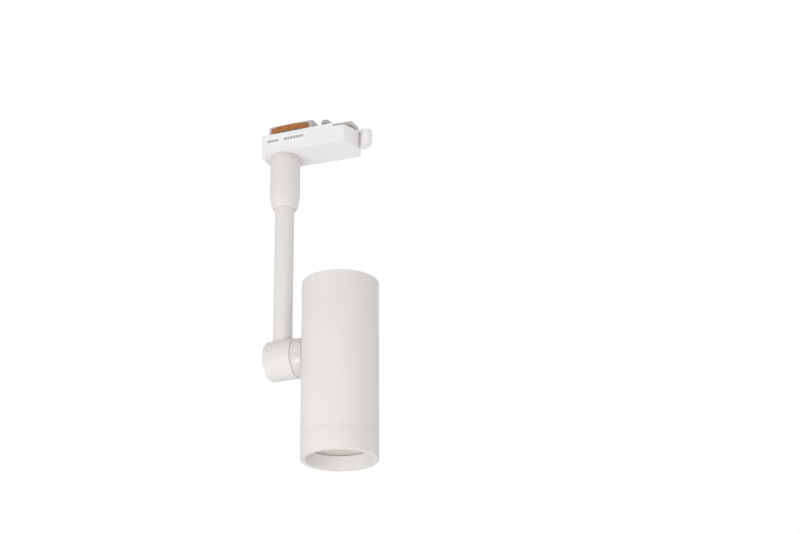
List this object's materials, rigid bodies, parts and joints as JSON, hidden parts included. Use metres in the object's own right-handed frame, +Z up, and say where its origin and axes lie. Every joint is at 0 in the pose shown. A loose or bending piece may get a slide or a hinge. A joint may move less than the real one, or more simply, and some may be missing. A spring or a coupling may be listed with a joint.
{
  "type": "track spotlight",
  "caption": "Cylindrical spotlight head that tilts on a knuckle and turns on a straight stem under a lever-locked track adapter.",
  "frame": {"origin": "where the stem's swivel axis meets the adapter's seat plane, which lies against the underside of the track", "axes": "+Z up into the track, +X along the track towards the lamp head, +Y across the track"},
  "size_m": [0.097, 0.06, 0.2899],
  "materials": {
    "adapter_plastic": "satin white moulding",
    "carrier_plastic": "light grey moulding",
    "painted_aluminium": "matt white powder coat",
    "turned_boss": "glossy white enamel over turned metal",
    "zinc_steel": "bright zinc plate",
    "contact_brass": "plain",
    "wire_sleeve": "silicone sleeve",
    "washer_plastic": "grey nylon",
    "label_film": "blank white film",
    "ceramic": "unglazed steatite",
    "lamp_shell_plastic": "satin white",
    "lamp_rim": "gloss white",
    "lamp_glass": "clear",
    "reflector_metal": "bright facets",
    "lamp_phosphor": "unlit emitter"
  },
  "bodies": {
    "adapter": {"adapter_housing": "adapter_plastic", "contact_carrier": "carrier_plastic", "carrier_screws": "zinc_steel", "live_contact": "contact_brass", "neutral_contact": "contact_brass", "earth_contact": "contact_brass", "terminal_block": "carrier_plastic", "terminal_screws": "contact_brass", "live_wire": "wire_sleeve", "earth_wire": "wire_sleeve", "neutral_wire": "wire_sleeve", "rating_label": "label_film", "swivel_bush": "contact_brass"},
    "lever": {"lock_lever": "adapter_plastic", "lever_spindle": "zinc_steel", "lock_lugs": "zinc_steel", "lug_screw": "zinc_steel"},
    "stem": {"swivel_washer": "zinc_steel", "swivel_nut": "zinc_steel", "stem_nipple": "zinc_steel", "swivel_collar": "painted_aluminium", "stem_coupler": "painted_aluminium", "stem_tube": "painted_aluminium", "stem_cable": "wire_sleeve", "knuckle_housing": "painted_aluminium", "knuckle_cap": "painted_aluminium"},
    "head": {"friction_washer": "washer_plastic", "pivot_boss": "turned_boss", "saddle_gasket": "washer_plastic", "saddle_washer": "zinc_steel", "pivot_bolt": "zinc_steel", "pivot_washer": "zinc_steel", "pivot_nut": "zinc_steel", "head_tube": "painted_aluminium", "back_cap": "painted_aluminium", "bracket_posts": "zinc_steel", "lampholder_bracket": "zinc_steel", "post_screws": "zinc_steel", "holder_screws": "zinc_steel", "lampholder": "ceramic", "lamp_live_wire": "wire_sleeve", "lamp_neutral_wire": "wire_sleeve", "lamp_body": "lamp_shell_plastic", "lamp_bezel": "lamp_rim", "lamp_front_glass": "lamp_glass", "lamp_reflector": "reflector_metal", "lamp_source": "lamp_phosphor", "lamp_pins": "zinc_steel"},
    "ring": {"front_ring": "painted_aluminium"}
  },
  "joints": [
    {"name": "lever_turn", "type": "hinge", "parent": "adapter", "child": "lever", "pos_m": [0.0395, 0, 0], "axis": [0, 0, 1], "range_deg": [0, 90]},
    {"name": "stem_turn", "type": "hinge", "parent": "adapter", "child": "stem", "pos_m": [0, 0, 0], "axis": [0, 0, 1], "range_deg": [-175, 175]},
    {"name": "head_tilt", "type": "hinge", "parent": "stem", "child": "head", "pos_m": [0, 0, -0.1885], "axis": [1, 0, 0], "range_deg": [-90, 90]},
    {"name": "ring_pull", "type": "slide", "parent": "head", "child": "ring", "axis": [0, 0, -1], "range_m": [0, 0.025]}
  ]
}
